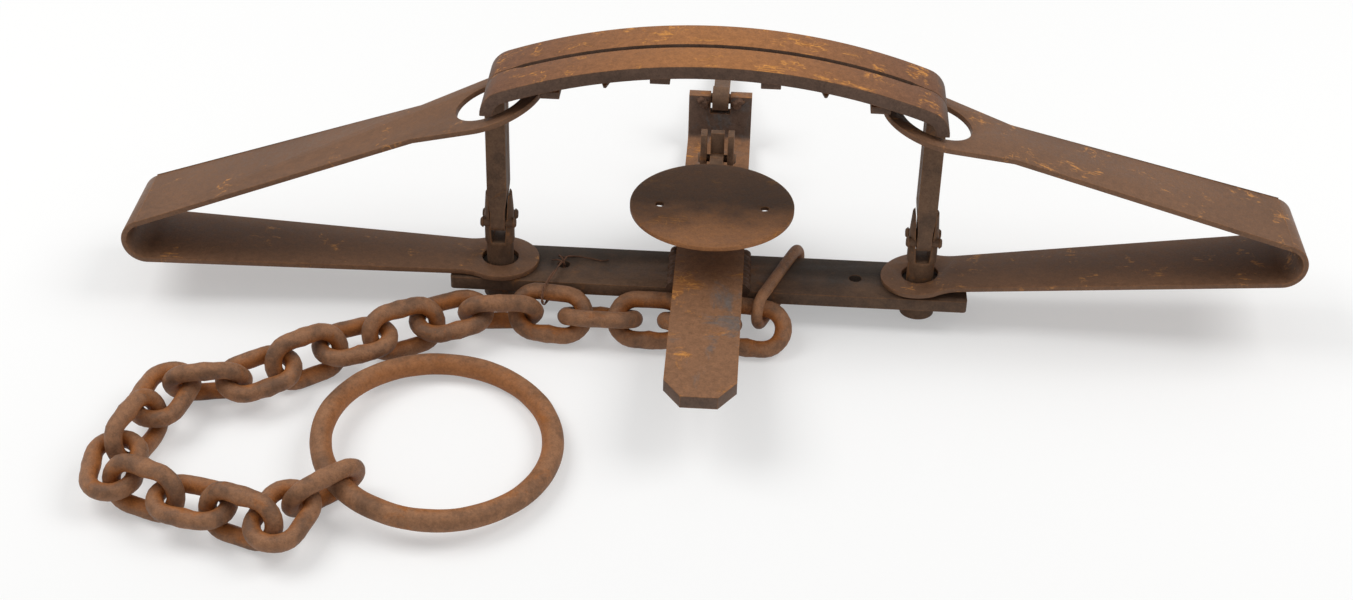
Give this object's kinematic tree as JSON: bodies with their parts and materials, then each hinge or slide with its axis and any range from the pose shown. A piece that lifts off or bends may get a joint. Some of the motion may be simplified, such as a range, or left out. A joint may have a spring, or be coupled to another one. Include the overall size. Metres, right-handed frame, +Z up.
{
  "type": "leghold trap",
  "caption": "Double long-spring leghold trap, sprung shut, with a round pan, a dog on the cross bar, riveted toothed jaws, and a heavy chain with an anchor ring laid in front.",
  "frame": {"origin": "on the ground under the middle of the base bar", "axes": "+X along the base bar from the left spring to the right spring, +Y to the rear where the dog is, +Z up from the ground; the trap leans back about 8.5 degrees on its feet and the heel of its cross bar"},
  "size_m": [0.8604, 0.5976, 0.2159],
  "materials": {
    "bar_steel": "rusted, dark brown with worn edges",
    "cross_steel": "rusted, orange-brown with grey bare patches",
    "jaw_steel": "rusted, brown with orange scratches",
    "spring_steel": "rusted, smooth grey-brown",
    "pan_steel": "rusted, dark brown with orange patches",
    "chain_steel": "rusted, warm brown with orange in the crevices",
    "pin_steel": "rusted, dark",
    "weld_metal": "rusted, rough beads",
    "wire_steel": "rusted thin wire"
  },
  "bodies": {
    "frame": {"base_bar": "bar_steel", "cross_bar": "cross_steel", "cross_welds": "weld_metal", "left_post": "bar_steel", "right_post": "bar_steel", "jaw_pins": "pin_steel", "pan_ears": "bar_steel", "pan_pin": "pin_steel", "dog_pin": "pin_steel", "dog_pin_welds": "weld_metal", "base_loop": "chain_steel", "tie_wire": "wire_steel", "chain_link_01": "chain_steel", "chain_link_02": "chain_steel", "chain_link_03": "chain_steel", "chain_link_04": "chain_steel", "chain_link_05": "chain_steel"},
    "front_jaw": {"front_jaw_bow": "jaw_steel", "front_jaw_legs": "jaw_steel", "front_jaw_teeth": "jaw_steel"},
    "rear_jaw": {"rear_jaw_bow": "jaw_steel", "rear_jaw_legs": "jaw_steel", "rear_jaw_teeth": "jaw_steel"},
    "left_spring": {"left_spring_lower": "spring_steel"},
    "left_leaf": {"left_spring_upper": "spring_steel"},
    "right_spring": {"right_spring_lower": "spring_steel"},
    "right_leaf": {"right_spring_upper": "spring_steel"},
    "pan_and_lever": {"pan": "pan_steel", "pan_lever": "pan_steel"},
    "dog_strap": {"dog": "cross_steel"},
    "link_06": {"chain_link_06": "chain_steel"},
    "link_07": {"chain_link_07": "chain_steel"},
    "link_08": {"chain_link_08": "chain_steel"},
    "link_09": {"chain_link_09": "chain_steel"},
    "link_10": {"chain_link_10": "chain_steel"},
    "link_11": {"chain_link_11": "chain_steel"},
    "link_12": {"chain_link_12": "chain_steel"},
    "link_13": {"chain_link_13": "chain_steel"},
    "link_14": {"chain_link_14": "chain_steel"},
    "link_15": {"chain_link_15": "chain_steel"},
    "link_16": {"chain_link_16": "chain_steel"},
    "link_17": {"chain_link_17": "chain_steel"},
    "link_18": {"chain_link_18": "chain_steel"},
    "link_19": {"chain_link_19": "chain_steel"},
    "link_20": {"chain_link_20": "chain_steel"},
    "ring": {"anchor_ring": "chain_steel"}
  },
  "joints": [
    {"name": "front_jaw_swing", "type": "hinge", "parent": "frame", "child": "front_jaw", "pos_m": [0, -0.00077, 0.06565], "axis": [1, 0, 0], "range_deg": [0, 90], "stiffness_Nm_per_rad": 2, "springref_deg": -28.65},
    {"name": "rear_jaw_swing", "type": "hinge", "parent": "frame", "child": "rear_jaw", "pos_m": [0, 0.01208, 0.06372], "axis": [1, 0, 0], "range_deg": [-90, 0]},
    {"name": "left_spring_swivel", "type": "hinge", "parent": "frame", "child": "left_spring", "pos_m": [-0.1565, 0, 0.02711], "axis": [0, 0.1488, 0.9889], "range_deg": [-8, 8]},
    {"name": "left_spring_flex", "type": "hinge", "parent": "left_spring", "child": "left_leaf", "pos_m": [-0.41412, 0.00354, 0.05065], "axis": [0, 0.9889, -0.1488], "range_deg": [0, 25], "deforming": ["left_spring_upper"]},
    {"name": "right_spring_swivel", "type": "hinge", "parent": "frame", "child": "right_spring", "pos_m": [0.1565, 0, 0.02711], "axis": [0, 0.1488, 0.9889], "range_deg": [-8, 8]},
    {"name": "right_spring_flex", "type": "hinge", "parent": "right_spring", "child": "right_leaf", "pos_m": [0.41132, 0.00725, 0.07526], "axis": [0, 0.9889, -0.1488], "range_deg": [-25, 0], "deforming": ["right_spring_upper"]},
    {"name": "pan_tilt", "type": "hinge", "parent": "frame", "child": "pan_and_lever", "pos_m": [0, 0.13304, 0.03085], "axis": [1, 0, 0], "range_deg": [-12, 10]},
    {"name": "dog_swing", "type": "hinge", "parent": "frame", "child": "dog_strap", "pos_m": [0, 0.19631, 0.04307], "axis": [1, 0, 0], "range_deg": [0, 187]},
    {"name": "link_06_swing", "type": "hinge", "parent": "frame", "child": "link_06", "pos_m": [-0.12563, -0.0467, 0.0204], "axis": [0, 0, 1], "range_deg": [-3, 5]},
    {"name": "link_07_swing", "type": "hinge", "parent": "link_06", "child": "link_07", "pos_m": [-0.17605, -0.05199, 0.021], "axis": [0, 0, -1], "range_deg": [-8, 10]},
    {"name": "link_08_swing", "type": "hinge", "parent": "link_07", "child": "link_08", "pos_m": [-0.19644, -0.0615, 0.021], "axis": [0, 0, 1], "range_deg": [-10, 8]},
    {"name": "link_09_swing", "type": "hinge", "parent": "link_08", "child": "link_09", "pos_m": [-0.24161, -0.08452, 0.021], "axis": [0, 0, -1], "range_deg": [-8, 10]},
    {"name": "link_10_swing", "type": "hinge", "parent": "link_09", "child": "link_10", "pos_m": [-0.26217, -0.09367, 0.021], "axis": [0, 0, 1], "range_deg": [-10, 5]},
    {"name": "link_11_swing", "type": "hinge", "parent": "link_10", "child": "link_11", "pos_m": [-0.30469, -0.12129, 0.021], "axis": [0, 0, -1], "range_deg": [0, 10]},
    {"name": "link_12_swing", "type": "hinge", "parent": "link_11", "child": "link_12", "pos_m": [-0.32356, -0.13354, 0.021], "axis": [0, 0, 1], "range_deg": [-10, 0]},
    {"name": "link_13_swing", "type": "hinge", "parent": "link_12", "child": "link_13", "pos_m": [-0.37349, -0.14234, 0.021], "axis": [0, 0, -1], "range_deg": [0, 10]},
    {"name": "link_14_swing", "type": "hinge", "parent": "link_13", "child": "link_14", "pos_m": [-0.37893, -0.16418, 0.021], "axis": [0, 0, 1], "range_deg": [-10, 0]},
    {"name": "link_15_swing", "type": "hinge", "parent": "link_14", "child": "link_15", "pos_m": [-0.3946, -0.21239, 0.021], "axis": [0, 0, -1], "range_deg": [0, 10]},
    {"name": "link_16_swing", "type": "hinge", "parent": "link_15", "child": "link_16", "pos_m": [-0.39264, -0.23481, 0.021], "axis": [0, 0, 1], "range_deg": [-10, 0]},
    {"name": "link_17_swing", "type": "hinge", "parent": "link_16", "child": "link_17", "pos_m": [-0.3447, -0.25132, 0.021], "axis": [0, 0, -1], "range_deg": [0, 10]},
    {"name": "link_18_swing", "type": "hinge", "parent": "link_17", "child": "link_18", "pos_m": [-0.32261, -0.25561, 0.021], "axis": [0, 0, 1], "range_deg": [-10, 0]},
    {"name": "link_19_swing", "type": "hinge", "parent": "link_18", "child": "link_19", "pos_m": [-0.27467, -0.27211, 0.021], "axis": [0, 0, -1], "range_deg": [0, 10]},
    {"name": "link_20_swing", "type": "hinge", "parent": "link_19", "child": "link_20", "pos_m": [-0.2681, -0.2506, 0.021], "axis": [0, 0, 1], "range_deg": [-10, 0]},
    {"name": "ring_lift", "type": "hinge", "parent": "link_20", "child": "ring", "pos_m": [-0.24121, -0.22804, 0.021], "axis": [0.6428, -0.766, 0], "range_deg": [0, 60]}
  ],
  "couplings": [
    {"joint": "rear_jaw_swing", "follows": "front_jaw_swing", "ratio": -1},
    {"joint": "left_spring_flex", "follows": "front_jaw_swing", "ratio": 0.2777},
    {"joint": "right_spring_flex", "follows": "front_jaw_swing", "ratio": -0.2777}
  ]
}
